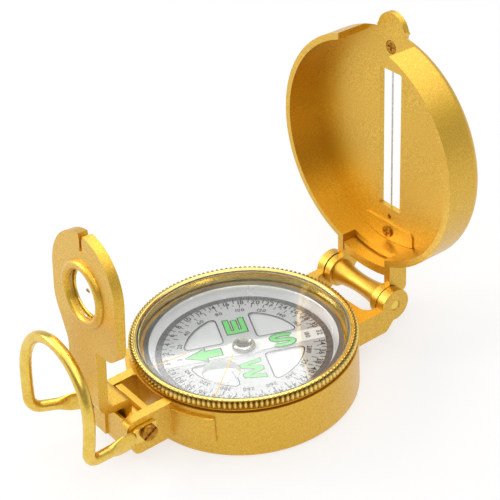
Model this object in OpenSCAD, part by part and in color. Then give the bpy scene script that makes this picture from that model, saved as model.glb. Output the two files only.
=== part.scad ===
/* [Case] */
// Outside diameter of the case and of the turning bezel
case_d = 52; // [51:0.5:54]
// Thickness of the case floor
floor_t = 2; // [1.4:0.2:2.6]
// Thickness of the case wall beside the bezel skirt
case_wall = 1.64; // [1.5:0.02:1.8]
// Radius of the rounded bottom edge
base_round = 1; // [0.4:0.1:1.4]
// Height of the narrow neck under the bezel
neck_h = 0.3; // [0.2:0.1:0.5]
// Width of the neck's top face
neck_w = 0.6; // [0.4:0.1:0.8]
// Height of the raised front boss above the base
boss_z = 4.3; // [3.5:0.1:5]
// How far the boss stands out from the case
boss_out = 1; // [0.6:0.1:1.2]
// Angle that the boss covers to each side of the front
boss_half = 37; // [28:1:50]
// Bevel along the boss edges
boss_bevel = 0.3; // [0.1:0.1:0.4]

/* [Capsule and dial] */
// Height of the liquid capsule's cup
cup_h = 8.2; // [8:0.1:8.6]
// Wall of the cup
cup_wall = 1; // [0.8:0.1:1.2]
// Height of the cup's floor above the case floor
cup_lift = 2.2; // [1.8:0.1:2.6]
// Thickness of the cup's floor
web_t = 1; // [0.8:0.1:1.2]
// Diameter of the ports through the cup's floor
port_d = 1.6; // [1:0.1:2.4]
// Thickness of the capsule seal
seal_t = 0.25; // [0.2:0.05:0.4]
// Thickness of the capsule window
window_t = 0.6; // [0.5:0.1:0.8]
// Space round the dial card
card_gap = 1.3; // [1:0.1:2]
// Thickness of the dial card
card_t = 0.4; // [0.3:0.05:0.5]
// Depth of the dial card's top under the cup's rim
card_drop = 0.7; // [0.7:0.05:0.9]
// Angle from the front to the card's north, clockwise from above
card_turn = 25.4; // [0:0.2:90]
// Radius of the outer edge of the card's four windows
pane_r = 13.4; // [12:0.2:15]
// Half width of the bars between the windows
pane_bar = 4.4; // [3.6:0.1:5]
// Radius of the rounded window corners
pane_corner = 1.2; // [0.6:0.1:1.6]
// Length of the magnet bar
magnet_l = 30; // [24:1:34]
// Width of the magnet bar
magnet_w = 4; // [3.6:0.1:5]
// Thickness of the magnet bar
magnet_t = 0.8; // [0.5:0.1:1]
// Radius of the card's hub
hub_r = 1.5; // [1.3:0.1:1.8]
// Radius of the hub's flange on the card
hub_flange_r = 2.2; // [2:0.1:2.4]
// Radius of the jewel
jewel_r = 0.8; // [0.7:0.05:0.9]
// Radius of the cap over the jewel
cap_r = 2.45; // [2.2:0.05:2.8]
// Radius of the pivot post's foot
post_r = 1.2; // [1:0.1:1.5]

/* [Bezel] */
// Height of the knurled band
band_h = 2.1; // [1.9:0.1:2.3]
// Height of the conical inner wall
cone_h = 2.8; // [2.6:0.1:3]
// Thickness of the crystal
crystal_t = 0.7; // [0.6:0.05:0.8]
// Thickness of the gasket under the crystal
gasket_t = 0.5; // [0.4:0.1:0.6]
// Depth of the skirt below the band
skirt_h = 2.8; // [2.6:0.1:2.9]
// Wall of the skirt
skirt_wall = 1.4; // [1.3:0.05:1.5]
// Width of the lip that holds the crystal
lip_w = 1; // [0.8:0.1:1.1]
// Width of the flat ring on the bezel's top
rim_flat = 0.7; // [0.5:0.1:0.9]
// Number of knurl teeth
teeth = 120; // [90:2:140]
// Depth of the knurl
tooth_h = 0.5; // [0.3:0.05:0.6]
// Height of the bevel over the knurl
knurl_bevel = 0.8; // [0.5:0.1:1]
// Thickness of the wire ring that holds the bezel down
clip_t = 0.5; // [0.4:0.05:0.6]
// Width of the luminous index lines
line_w = 0.9; // [0.6:0.1:1.2]

/* [Cover] */
// Inside depth of the cover
cover_depth = 8.1; // [7.9:0.1:9]
// Thickness of the cover's top
cover_t = 1.4; // [1.2:0.1:1.8]
// Thickness of the cover's rim
cover_wall = 1.5; // [1.3:0.1:1.8]
// Radius of the cover's back edge
cover_round = 2.3; // [1.6:0.1:2.6]
// Gap between the bezel and the inside of the rim
cover_gap = 0.3; // [0.3:0.05:0.5]
// Angle by which the cover stands open
cover_open = 91; // [0:1:180]
// Width of the sight slot
slot_w = 7; // [6:0.2:8]
// Half length of the sight slot
slot_half = 17.7; // [15:0.1:18.5]
// Gap between the front arms and the notch in the rim
notch_gap = 0.3; // [0.3:0.1:1]
// Radius of the finger tab
tab_r = 4.2; // [3.6:0.1:5]
// How far the tab's centre lies inside the cover's outline
tab_in = 0.5; // [0:0.1:1.5]
// Radius of the hollow shoulders beside the tab
tab_fillet = 2; // [1:0.2:3]
// Diameter of the sighting wire
wire_d = 0.4; // [0.3:0.05:0.5]
// Half width of the wire plate
wire_plate_half = 8.3; // [7.5:0.1:9]
// Thickness of the wire plate
wire_plate_t = 0.4; // [0.3:0.05:0.5]
// Diameter of the wire screws' heads
wire_screw_d = 3; // [2.6:0.1:3.4]

/* [Cover hinge] */
// Distance from the case wall to the hinge axis
hinge_out = 9.4; // [9.2:0.1:10.4]
// Height of the hinge axis
hinge_z = 10.7; // [10.6:0.1:11]
// Radius of the case's knuckles
knuckle_r = 4; // [3.8:0.1:4.2]
// Radius of the cover's flanges
flange_r = 3.9; // [3.7:0.1:4.1]
// Half length of the spool between the flanges
spool_half = 7.3; // [6.5:0.1:8]
// Radius of the spool at its ends
spool_end_r = 3.2; // [2.9:0.1:3.4]
// Radius of the spool at its waist
spool_waist_r = 2.3; // [2:0.1:2.6]
// Thickness of the cover's hinge lugs
lug_t = 1.9; // [1.6:0.1:2.2]
// Thickness of the case's hinge arms
rear_arm_t = 2.3; // [2:0.1:2.8]
// Diameter of the hinge pin
pin_d = 2.6; // [2:0.1:3]
// Height of the underside of the hinge shelf
shelf_z = 4.4; // [3.6:0.1:5]
// Distance from the case wall to the shelf's edge
shelf_out = 2.4; // [1.8:0.1:3]

/* [Front bracket] */
// Distance from the case wall to the axis of loop and lens bracket
pivot_out = 6.4; // [6.3:0.1:7]
// Height of that axis
pivot_z = 9.1; // [9:0.1:9.6]
// Thickness of the front arms
arm_t = 2.4; // [2:0.1:2.8]
// Height of the front arms' top above the axis
arm_up = 3.5; // [2.8:0.1:3.5]
// Depth of the front arms' underside below the axis
arm_down = 5.6; // [5:0.1:6]
// How far the front arms reach in front of the axis
arm_nose = 4.6; // [4.2:0.1:5.2]
// Diameter of the pivot screws' shanks
screw_d = 2.6; // [2.2:0.1:2.8]
// Diameter of the pivot screws' heads
screw_head_d = 3.8; // [3.4:0.1:4.2]
// Thickness of the pivot screws' heads
screw_head_t = 0.7; // [0.5:0.1:0.9]

/* [Lens bracket] */
// Angle by which the bracket leans towards the dial
lens_lean = 5; // [-5:1:12]
// Width of the bracket's hub
lens_hub_w = 10.6; // [9.6:0.2:11.6]
// Distance from the axis to the plate's rear face
plate_off = 6.5; // [6.4:0.1:7]
// Thickness of the plate
plate_t = 2.3; // [2:0.1:2.4]
// Half width of the bracket's head
head_half = 11.8; // [10.5:0.1:12.5]
// Height of the head's top above the axis
head_top = 46.8; // [44:0.2:48]
// Height of the lens centre above the axis
lens_z = 33.2; // [31:0.2:34]
// Radius of the clear lens opening
lens_open_r = 5.3; // [4.8:0.1:5.8]
// Outer radius of the raised ring round the lens
lens_ring_r = 7.5; // [7.2:0.1:8]
// Height of the raised ring
lens_ring_h = 1; // [0.6:0.1:1]
// Radius of the lens
lens_r = 5.9; // [5.6:0.1:6.4]
// Thickness of the lens in the middle
lens_t = 1.5; // [1.2:0.1:1.6]
// Width of the sighting slit
slit_w = 0.9; // [0.6:0.1:1.2]
// Depth of the sighting slit
slit_l = 3.6; // [2.6:0.1:4.4]
// Left edge of the neck
neck_left = 7.1; // [6.2:0.1:7.8]
// Right edge of the neck
neck_right = 3.9; // [3.8:0.1:4.6]
// Thickness of the folded foot
foot_t = 1.8; // [1.5:0.1:2]
// Height of the foot's top above the axis
foot_up = 6; // [5.9:0.1:6]

/* [Thumb loop] */
// Diameter of the loop's wire
loop_d = 2.6; // [2.2:0.1:3]
// Angle by which the loop leans towards the dial
loop_lean = 6; // [0:1:8]
// Half width of the loop, at the middle of its wire
loop_half = 12.6; // [12:0.1:13.5]
// Half width between the bottom bends
loop_bend_half = 11.7; // [11:0.1:12.2]
// Distance from the axis forwards to the bends
loop_reach = 16.4; // [15:0.2:18]
// Height of the bends above the axis
loop_rise = 2.8; // [1:0.2:4]
// Radius of the bends
loop_bend_r = 3; // [2.6:0.1:3.6]
// Slope of the loop's sides at the bends
loop_flare = 8; // [5:1:12]
// Length of the flattened paddles
paddle_l = 7; // [6:0.1:8]
// Height of the flattened paddles
paddle_h = 4.6; // [4:0.1:5.4]
// Thickness of the flattened paddles
paddle_t = 1.3; // [1.1:0.1:1.6]
// Thickness of the screw tabs
tab_t = 0.9; // [0.7:0.1:1.1]

/* [Fits] */
// Radial clearance of the bezel in the case
bezel_fit = 0.06; // [0.04:0.01:0.1]
// Radial clearance of the turning hinges on their pins
pin_fit = 0.05; // [0.03:0.01:0.1]
// Clearance of pieces that are pressed or glued in
seat_fit = 0.02; // [0.01:0.01:0.04]
// Gap beside parts that swing
side_gap = 0.2; // [0.15:0.05:0.3]
// Gap between faces that turn over each other
turn_gap = 0.3; // [0.25:0.05:0.4]

/* [Hidden] */
$fn = 96;
eps = 0.01;

paint = [0.80, 0.62, 0.24];
brass = [0.86, 0.74, 0.38];
steel = [0.75, 0.76, 0.77];
clear = [0.85, 0.92, 0.95, 0.35];
rubber = [0.15, 0.15, 0.15];
lime = [0.85, 0.85, 0.25];

// Heights from the base up
cup_top = floor_t + cup_h;
window_z = cup_top + seal_t;
window_top = window_z + window_t;
line_t = 0.08;
crystal_z = window_top + turn_gap + line_t;
crystal_top = crystal_z + crystal_t;
bezel_top = crystal_top + cone_h;
band_z = bezel_top - band_h;
neck_top = band_z - turn_gap;
wall_top = neck_top - neck_h;
skirt_z = band_z - skirt_h;
gasket_z = crystal_z - gasket_t;
clip_z = skirt_z + 0.5;
card_top = cup_top - card_drop;
card_z = card_top - card_t;
magnet_z = card_z - magnet_t;
web_z = floor_t + cup_lift;
cavity_z = web_z + web_t;

// Radii from the case wall inwards
case_r = case_d / 2;
bore_r = case_r - case_wall;
skirt_r = bore_r - bezel_fit;
seat_r = skirt_r - skirt_wall;
glass_edge_r = seat_r - lip_w;
cup_r = glass_edge_r - turn_gap;
cup_in_r = cup_r - cup_wall;
card_r = cup_in_r - card_gap;
boss_r = case_r + boss_out;

// Front boss, as high as the closed cover allows
boss_top = hinge_z + 0.2;

// Cover in its closed place
cover_in_r = case_r + cover_gap;
cover_r = cover_in_r + cover_wall;
rim_z = max(hinge_z + 0.5, boss_top + 0.25);
plate_z = rim_z + cover_depth;
cover_top = plate_z + cover_t;
rim_cut_z = rim_z + 3.8;
tab_y = -(cover_r - tab_in);
screw_y = tab_y + 3.9;

// Hinge of the cover
hinge_y = case_r + hinge_out;
lug_x = spool_half;
lug_out = lug_x + lug_t;
rear_in = lug_out + side_gap + 0.1;
rear_out = rear_in + rear_arm_t;
pin_r = pin_d / 2;
bridge_out = case_r + 4.5;
lug_top = rim_z + 5.2;

// Front axis
pivot_y = -(case_r + pivot_out);
arm_in = lens_hub_w / 2 + side_gap;
arm_out = arm_in + arm_t;
tab_in_x = arm_out + 0.1;
tab_out_x = tab_in_x + tab_t;
screw_r = screw_d / 2;
notch_half = arm_out + notch_gap;
swing_r = pivot_out - turn_gap;

// Three-dimensional helpers

module ring(r_out, r_in, z, h) {
    translate([0, 0, z])
        difference() {
            cylinder(r = r_out, h = h);
            translate([0, 0, -1]) cylinder(r = r_in, h = h + 2);
        }
}

// Extrudes an outline drawn in Y and Z along X, from x0 to x1
module side_slab(x0, x1) {
    translate([x0, 0, 0])
        rotate([90, 0, 90])
            linear_extrude(x1 - x0) children();
}

// A cylinder along X, from x0 to x1
module rod_x(r, x0, x1) {
    translate([x0, 0, 0]) rotate([0, 90, 0]) cylinder(r = r, h = x1 - x0);
}

module both_sides() {
    children();
    mirror([1, 0, 0]) children();
}

// Corner rounding for outlines: each point is [x, y, radius]

function unit(v) = v / norm(v);
function flat(p) = [p[0], p[1]];
function turn_from(s, e) = (e - s + 900) % 360 - 180;
function corner(a, p, b, r, n) =
    let (
        u = unit(a - p),
        v = unit(b - p),
        half = acos(u * v) / 2,
        c = p + unit(u + v) * r / sin(half),
        s_pt = p + u * r / tan(half) - c,
        e_pt = p + v * r / tan(half) - c,
        s = atan2(s_pt[1], s_pt[0]),
        sweep = turn_from(s, atan2(e_pt[1], e_pt[0]))
    )
    [for (i = [0:n]) c + r * [cos(s + sweep * i / n), sin(s + sweep * i / n)]];
function rounded(pts, n = 6) =
    let (k = len(pts))
    [
        for (i = [0:k - 1])
            let (p = pts[i], a = pts[(i + k - 1) % k], b = pts[(i + 1) % k])
            each p[2] == 0 ? [flat(p)] : corner(flat(a), flat(p), flat(b), p[2], n)
    ];

// Case

module case_wall_shape() {
    rotate_extrude() {
        square([case_r - base_round, neck_top]);
        translate([case_r - base_round, base_round]) circle(base_round);
        translate([0, base_round]) square([case_r, wall_top - base_round]);
    }
}

module boss_outline(r_in, r_out) {
    polygon([
        [r_in, boss_z],
        [r_out - boss_bevel, boss_z],
        [r_out, boss_z + boss_bevel],
        [r_out, boss_top - boss_bevel],
        [r_out - boss_bevel, boss_top],
        [r_in, boss_top]
    ]);
}

// The boss leaves the bay between the front arms free
module front_boss() {
    difference() {
        rotate([0, 0, -90 - boss_half])
            rotate_extrude(angle = 2 * boss_half) boss_outline(bore_r + 0.5, boss_r);
        translate([-arm_in, -boss_r - 1, boss_z - 1])
            cube([2 * arm_in, boss_r + 1 - case_r * cos(asin(arm_in / case_r)) + 0.6, 20]);
    }
    for (side = [-1, 1])
        rotate([0, 0, -90 + side * boss_half])
            translate([case_r, 0, 0]) rotate_extrude() boss_outline(0, boss_out);
}

module front_arm_outline() {
    nose_y = pivot_y - arm_nose;
    top_z = pivot_z + arm_up;
    under_z = pivot_z - arm_down;
    back_y = -case_r + 1.5;
    polygon(rounded([
        [back_y, under_z, 0],
        [nose_y + 1.4, under_z, 2],
        [nose_y, pivot_z, 1.5],
        [nose_y, top_z, 2.4],
        [back_y, top_z, 0]
    ], 8));
}

module front_arms() {
    difference() {
        both_sides() side_slab(arm_in, arm_out) front_arm_outline();
        translate([0, 0, wall_top]) cylinder(r = case_r + turn_gap, h = 10);
    }
}

module rear_arm_outline() {
    top_z = hinge_z + 0.1;
    polygon(rounded([
        [case_r - 5, top_z, 0],
        [case_r - 5, shelf_z, 0],
        [hinge_y - 2.7, shelf_z, 1.5],
        [hinge_y - 0.6, shelf_z + 2.4, 1],
        [hinge_y, top_z, 0]
    ], 4));
    translate([hinge_y, hinge_z]) circle(knuckle_r);
}

module shelf_plan() {
    edge_y = case_r + shelf_out;
    corner_r = 2.5;
    difference() {
        translate([-rear_out, case_r - 8]) square([2 * rear_out, shelf_out + 8 + 2]);
        translate([-rear_in + corner_r, edge_y]) square([2 * (rear_in - corner_r), 5]);
        both_sides() translate([rear_in - corner_r, edge_y + corner_r]) circle(corner_r);
    }
}

module rear_shelf() {
    translate([0, 0, shelf_z]) linear_extrude(hinge_z + 0.1 - shelf_z) shelf_plan();
    both_sides() side_slab(rear_in, rear_out) rear_arm_outline();
}

module case() {
    color(paint)
        difference() {
            union() {
                case_wall_shape();
                front_boss();
                front_arms();
                rear_shelf();
            }
            translate([0, 0, floor_t]) cylinder(r = cup_r + seat_fit, h = 20);
            translate([0, 0, skirt_z - turn_gap]) cylinder(r = bore_r, h = 20);
            ring(bore_r + 0.54, cup_r, clip_z - seat_fit, clip_t + 2 * seat_fit);
            ring(case_r + 1, bore_r + neck_w, wall_top, neck_top - wall_top + eps);
            translate([0, hinge_y, hinge_z]) rod_x(pin_r + seat_fit, -20, 20);
            translate([0, pivot_y, pivot_z]) rod_x(screw_r + seat_fit, -20, 20);
        }
}

// Capsule, pivot and dial

module capsule_cup() {
    color(steel)
        difference() {
            translate([0, 0, floor_t]) cylinder(r = cup_r, h = cup_h);
            translate([0, 0, cavity_z]) cylinder(r = cup_in_r, h = cup_h);
            translate([0, 0, floor_t - 1]) cylinder(r = cup_in_r, h = cup_lift + 1);
            for (a = [45:90:315])
                rotate([0, 0, a]) translate([8, 0, 0]) cylinder(d = port_d, h = 20);
            cylinder(r = post_r + seat_fit, h = 20);
        }
}

module capsule_window() {
    edge = window_t / 2;
    color(clear)
        translate([0, 0, window_z])
            rotate_extrude() {
                square([cup_r - edge, window_t]);
                square([cup_r, edge]);
                translate([cup_r - edge, edge]) circle(edge);
            }
}

module capsule_seal() {
    color(rubber) ring(cup_r, cup_in_r, cup_top, seal_t);
}

// Thin plate with round corrugations, under the cup's floor
module expansion_diaphragm() {
    sheet = 0.3;
    drop = 0.8;
    wave = 0.7;
    edge_r = cup_in_r - seat_fit;
    color(brass)
        translate([0, 0, web_z - drop])
            rotate_extrude()
                difference() {
                    union() {
                        square([edge_r, sheet]);
                        translate([edge_r - 1.5, 0]) square([1.5, drop - seat_fit]);
                        for (r = [6:4:14]) translate([r, 0]) circle(wave);
                    }
                    for (r = [6:4:14]) translate([r, 0]) circle(wave - sheet);
                    translate([0, -5]) square([40, 5]);
                }
}

module pivot_post() {
    top_z = magnet_z - 0.3;
    color(brass)
        difference() {
            union() {
                translate([0, 0, web_z - 0.3]) cylinder(r = post_r, h = 0.3 + web_t + 0.6);
                translate([0, 0, cavity_z]) cylinder(r = post_r + 0.8, h = 0.6);
                translate([0, 0, cavity_z]) cylinder(r1 = post_r, r2 = 0.7, h = top_z - cavity_z);
            }
            translate([0, 0, cavity_z + 0.8]) cylinder(r = 0.3 + seat_fit, h = 10);
        }
}

// Depth of the cup in the jewel, in which the tip turns
jewel_cup = 0.4;

module pivot_tip() {
    tip_z = card_z + 0.1 + jewel_cup - pin_fit;
    color(steel) {
        translate([0, 0, cavity_z + 0.8 + seat_fit])
            cylinder(r = 0.3, h = tip_z - 0.5 - cavity_z - 0.8 - seat_fit);
        translate([0, 0, tip_z - 0.5]) cylinder(r1 = 0.3, r2 = 0.05, h = 0.5);
    }
}

// One window of the card: a quarter of a disc, set off from both axes
module pane_outline() {
    c = pane_corner;
    far = pane_r - c;
    near = pane_bar + c;
    reach = sqrt(far * far - near * near);
    lean = atan2(near, reach);
    steps = 8;
    arc_a = [for (i = [0:steps]) [near, near] + c * [cos(270 - 90 * i / steps), sin(270 - 90 * i / steps)]];
    arc_b = [for (i = [0:steps]) let (a = 180 - (90 + lean) * i / steps) [near, reach] + c * [cos(a), sin(a)]];
    arc_r = [for (i = [1:23]) let (a = 90 - lean - (90 - 2 * lean) * i / 24) pane_r * [cos(a), sin(a)]];
    arc_d = [for (i = [0:steps]) let (a = lean - (90 + lean) * i / steps) [reach, near] + c * [cos(a), sin(a)]];
    polygon(concat(arc_a, arc_b, arc_r, arc_d));
}

module dial_card() {
    color("white")
        translate([0, 0, card_z])
            rotate([0, 0, -card_turn])
                difference() {
                    cylinder(r = card_r, h = card_t);
                    translate([0, 0, -1]) {
                        cylinder(r = hub_r + seat_fit, h = card_t + 2);
                        for (a = [0:90:270])
                            rotate([0, 0, a]) linear_extrude(card_t + 2) pane_outline();
                    }
                }
}

module magnet_bar() {
    end_l = magnet_w / 2;
    color(steel)
        translate([0, 0, magnet_z])
            rotate([0, 0, -card_turn])
                difference() {
                    union() {
                        translate([-magnet_w / 2, -magnet_l / 2, 0])
                            cube([magnet_w, magnet_l, magnet_t]);
                        cylinder(r = end_l + 1, h = magnet_t);
                    }
                    translate([0, 0, -1]) cylinder(r = hub_r + seat_fit, h = magnet_t + 2);
                }
}

module card_hub() {
    flange_t = 0.2;
    color(brass)
        difference() {
            union() {
                translate([0, 0, magnet_z]) cylinder(r = hub_r, h = card_top + 0.4 - magnet_z);
                translate([0, 0, card_top]) cylinder(r = hub_flange_r, h = flange_t);
            }
            cylinder(r = jewel_r + seat_fit, h = 20);
        }
}

module jewel_bearing() {
    z0 = card_z + 0.1;
    color("crimson")
        difference() {
            translate([0, 0, z0]) cylinder(r = jewel_r, h = card_top + 0.4 - z0);
            translate([0, 0, z0 - eps]) cylinder(r1 = 0.6, r2 = 0.12, h = jewel_cup);
        }
}

module jewel_cap() {
    cap_t = 0.65;
    roof = 0.23;
    color(brass)
        difference() {
            translate([0, 0, card_top + 0.2])
                rotate_extrude()
                    polygon(rounded([
                        [0, 0, 0],
                        [cap_r, 0, 0],
                        [cap_r, cap_t - 0.2, 0.3],
                        [0, cap_t - 0.2, 0]
                    ]));
            cylinder(r = hub_r + seat_fit, h = card_top + cap_t - roof);
        }
}

// Bezel

module bezel_retainer() {
    color(steel)
        rotate([0, 0, 100])
            rotate_extrude(angle = 340)
                translate([skirt_r - 0.45, clip_z]) square([bore_r + 0.5 - skirt_r + 0.45, clip_t]);
}

module knurl_outline() {
    step = 360 / teeth;
    polygon([
        for (i = [0:teeth - 1])
            for (k = [0:3])
                let (a = (i + [0, 0.18, 0.5, 0.68][k]) * step, r = case_r - (k < 2 ? 0 : tooth_h))
                r * [cos(a), sin(a)]
    ]);
}

module bezel_band() {
    top_r = glass_edge_r + 2.4 + rim_flat;
    intersection() {
        translate([0, 0, band_z]) linear_extrude(band_h) knurl_outline();
        rotate_extrude()
            polygon([
                [0, band_z],
                [case_r - 0.3, band_z],
                [case_r, band_z + 0.3],
                [case_r, bezel_top - knurl_bevel],
                [top_r, bezel_top],
                [0, bezel_top]
            ]);
    }
}

module bezel_ring() {
    color(brass)
        difference() {
            union() {
                bezel_band();
                translate([0, 0, skirt_z]) cylinder(r = skirt_r, h = skirt_h + eps);
            }
            translate([0, 0, skirt_z - 1])
                cylinder(r = seat_r, h = crystal_top - skirt_z + 1);
            translate([0, 0, crystal_top - eps])
                cylinder(r1 = glass_edge_r, r2 = glass_edge_r + 2.4, h = cone_h + 2 * eps);
            ring(skirt_r + 1, skirt_r - 0.55, clip_z - 0.1, clip_t + 0.2);
        }
}

module crystal() {
    color(clear)
        translate([0, 0, crystal_z]) cylinder(r = seat_r - seat_fit, h = crystal_t);
}

module crystal_gasket() {
    color(rubber) ring(seat_r - seat_fit, glass_edge_r, gasket_z, gasket_t);
}

// Two lines under the crystal: [angle from the front, inner radius]
index_marks = [[-20, 13], [31, 4.7]];

module index_lines() {
    color(lime)
        for (m = index_marks)
            rotate([0, 0, m[0]])
                translate([-line_w / 2, -(glass_edge_r - 0.1), crystal_z - line_t])
                    cube([line_w, glass_edge_r - 0.1 - m[1], line_t]);
}

// Cover: drawn closed, then swung open about the hinge

module swung_open() {
    translate([0, hinge_y, hinge_z])
        rotate([-cover_open, 0, 0])
            translate([0, -hinge_y, -hinge_z]) children();
}

module cover_shell() {
    difference() {
        rotate_extrude() {
            translate([0, rim_z]) square([cover_r, cover_top - rim_z - cover_round]);
            translate([0, rim_z]) square([cover_r - cover_round, cover_top - rim_z]);
            translate([cover_r - cover_round, cover_top - cover_round]) circle(cover_round);
        }
        translate([0, 0, rim_z - 1]) cylinder(r = cover_in_r, h = cover_depth + 1);
    }
}

module cover_tab() {
    hub = -tab_y;
    far = cover_r + tab_fillet;
    near = tab_r + tab_fillet;
    swing = acos((far * far + hub * hub - near * near) / (2 * far * hub));
    centre = far * [sin(swing), -cos(swing)];
    translate([0, 0, plate_z])
        linear_extrude(cover_t) {
            translate([0, tab_y]) circle(tab_r);
            both_sides()
                difference() {
                    polygon([[0, -cover_r + 6], centre, [0, tab_y]]);
                    translate(centre) circle(tab_fillet);
                }
        }
}

module lug_outline() {
    back_y = cover_r - 2.6;
    polygon(rounded([
        [back_y, rim_z, 0],
        [back_y, lug_top, 0],
        [hinge_y - 1.8, lug_top, 1.2],
        [hinge_y + 1.2, hinge_z + 3.2, 0.3],
        [hinge_y, hinge_z, 0],
        [hinge_y - 3.4, rim_z, 0]
    ], 4));
    translate([hinge_y, hinge_z]) circle(flange_r);
}

// Curved block that ties the lugs together behind a narrow groove
module bridge_block() {
    groove = 0.5;
    block_z = rim_z + 0.2;
    intersection() {
        union() {
            ring(bridge_out, cover_r + groove, block_z, lug_top - block_z);
            ring(bridge_out, cover_r - 1, lug_top - 0.9, 0.9);
        }
        translate([-lug_x - eps, 0, 0]) cube([2 * (lug_x + eps), 60, 40]);
    }
}

module hinge_spool() {
    drop = spool_end_r - spool_waist_r;
    waist_curve = (spool_half * spool_half + drop * drop) / (2 * drop);
    translate([0, hinge_y, hinge_z])
        rotate([0, 90, 0])
            rotate_extrude()
                difference() {
                    translate([0, -spool_half - eps])
                        square([spool_end_r, 2 * (spool_half + eps)]);
                    translate([spool_waist_r + waist_curve, 0]) circle(waist_curve, $fn = 360);
                }
}

module notch_shape() {
    translate([-notch_half, -60, rim_z - 1])
        cube([2 * notch_half, 60, cover_depth + 1]);
}

// The wire lies in the middle of the cover's top
wire_z = plate_z + cover_t / 2;
wire_end = slot_half + 2.4;

module cover() {
    plate_edge = wire_end + 1.4;
    color(paint)
        swung_open()
            difference() {
                union() {
                    difference() {
                        cover_shell();
                        notch_shape();
                        translate([-lug_x, 0, rim_z - 1])
                            cube([2 * lug_x, 60, rim_cut_z - rim_z + 1]);
                    }
                    cover_tab();
                    both_sides() side_slab(lug_x, lug_out) lug_outline();
                    bridge_block();
                    hinge_spool();
                }
                translate([-slot_w / 2, -slot_half, plate_z - 1])
                    cube([slot_w, 2 * slot_half, cover_t + 2]);
                translate([0, -wire_end, wire_z])
                    rotate([-90, 0, 0]) cylinder(d = wire_d + 2 * seat_fit, h = 2 * wire_end, $fn = 24);
                translate([0, wire_end, plate_z - 1]) cylinder(r = 0.6, h = 1 + cover_t * 0.7);
                translate([0, hinge_y, hinge_z]) rod_x(pin_r + pin_fit, -20, 20);
                translate([0, screw_y, plate_z - 1]) cylinder(d = wire_screw_d + 0.2, h = 1.5);
                translate([0, screw_y, plate_z - 1]) cylinder(d = 1.4 + 2 * seat_fit, h = 2.1);
                translate([0, plate_edge + 2.5, plate_z - 1])
                    cylinder(d = 1.4 + 2 * seat_fit, h = 2.1);
            }
}

// Small plate over the wire's rear end, against the inside of the rim
module wire_plate() {
    front_y = wire_end + 1.4;
    color(paint)
        swung_open()
            translate([0, 0, plate_z - wire_plate_t])
                difference() {
                    intersection() {
                        linear_extrude(wire_plate_t)
                            polygon(rounded([
                                [-wire_plate_half, front_y, 1.2],
                                [wire_plate_half, front_y, 1.2],
                                [wire_plate_half, cover_r, 0],
                                [-wire_plate_half, cover_r, 0]
                            ]));
                        cylinder(r = cover_in_r - 0.05, h = wire_plate_t);
                    }
                    translate([0, front_y + 2.5, -1]) cylinder(d = 1.4 + 2 * seat_fit, h = 3);
                }
}

module sighting_wire() {
    color(steel)
        swung_open()
            translate([0, -wire_end + 0.1, wire_z])
                rotate([-90, 0, 0]) cylinder(d = wire_d, h = 2 * wire_end - 0.1, $fn = 24);
}

// A small pan-head screw with a cross slot, its head below z = 0 and its shank above
module small_screw(head_t, shank_l) {
    difference() {
        union() {
            translate([0, 0, -head_t]) cylinder(d = wire_screw_d, h = head_t);
            cylinder(d = 1.4, h = shank_l);
        }
        for (a = [0, 90])
            rotate([0, 0, a])
                translate([-1, -0.2, -head_t - eps]) cube([2, 0.4, 0.3]);
    }
}

module wire_screws() {
    color(brass)
        swung_open() {
            translate([0, screw_y, plate_z + 0.5]) small_screw(0.5, 0.55);
            translate([0, wire_end + 3.9, plate_z - wire_plate_t]) small_screw(0.5, 1.4);
        }
}

module hinge_pin() {
    color(brass)
        translate([0, hinge_y, hinge_z]) rod_x(pin_r, -rear_out + 0.15, rear_out - 0.15);
}

// Lens bracket: drawn upright about its axis, then leaned

module leaned() {
    translate([0, pivot_y, pivot_z]) rotate([-lens_lean, 0, 0]) children();
}

module head_outline() {
    crown_z = head_top - head_half;
    corner_r = 4;
    shoulder_z = lens_z - 8;
    step_z = shoulder_z - corner_r;
    translate([0, crown_z]) circle(head_half, $fn = 180);
    polygon(rounded([
        [-head_half, crown_z, 0],
        [-head_half, shoulder_z + 2, 9],
        [-neck_left, step_z - 2.5, 6],
        [-neck_left, foot_up + 5, 3],
        [-neck_left + 1.9, foot_up + 1, 0],
        [neck_right, foot_up + 1, 0],
        [neck_right, step_z, 0.6],
        [head_half, step_z, corner_r],
        [head_half, crown_z, 0]
    ], 8));
}

module foot_outline() {
    front = -plate_off - plate_t;
    under = foot_up - foot_t;
    polygon(rounded([
        [front, foot_up + 4, 0],
        [front, under, 3.4],
        [-2.3, under, 0.6],
        [-2.3, 1, 0],
        [-0.6, 1, 0],
        [-0.6, foot_up, 1.5],
        [-plate_off, foot_up, 1.5],
        [-plate_off, foot_up + 4, 0]
    ], 8));
}

module hub_outline() {
    front = -4.1;
    back = 2.7;
    polygon(rounded([
        [front, 2.7, 0.4],
        [front, -5.8, 1.4],
        [back, -5.2, 1.2],
        [back, 3.3, 0.2],
        [1, 3.3, 0.2],
        [1, -1, 0],
        [front + 0.9, -1, 0],
        [front + 0.9, 2.7, 0.2]
    ], 6));
    circle(2.6);
}

// Raised ring round the lens: a rounded bead on the plate's front face
module lens_ring() {
    half_w = (lens_ring_r - lens_open_r) / 2;
    rotate_extrude()
        translate([lens_open_r + half_w, 0]) {
            translate([-half_w, -0.5]) square([2 * half_w, 0.5 + lens_ring_h - 0.7]);
            intersection() {
                translate([0, lens_ring_h - half_w]) circle(half_w);
                translate([-half_w, -0.5]) square([2 * half_w, 5]);
            }
        }
}

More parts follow.
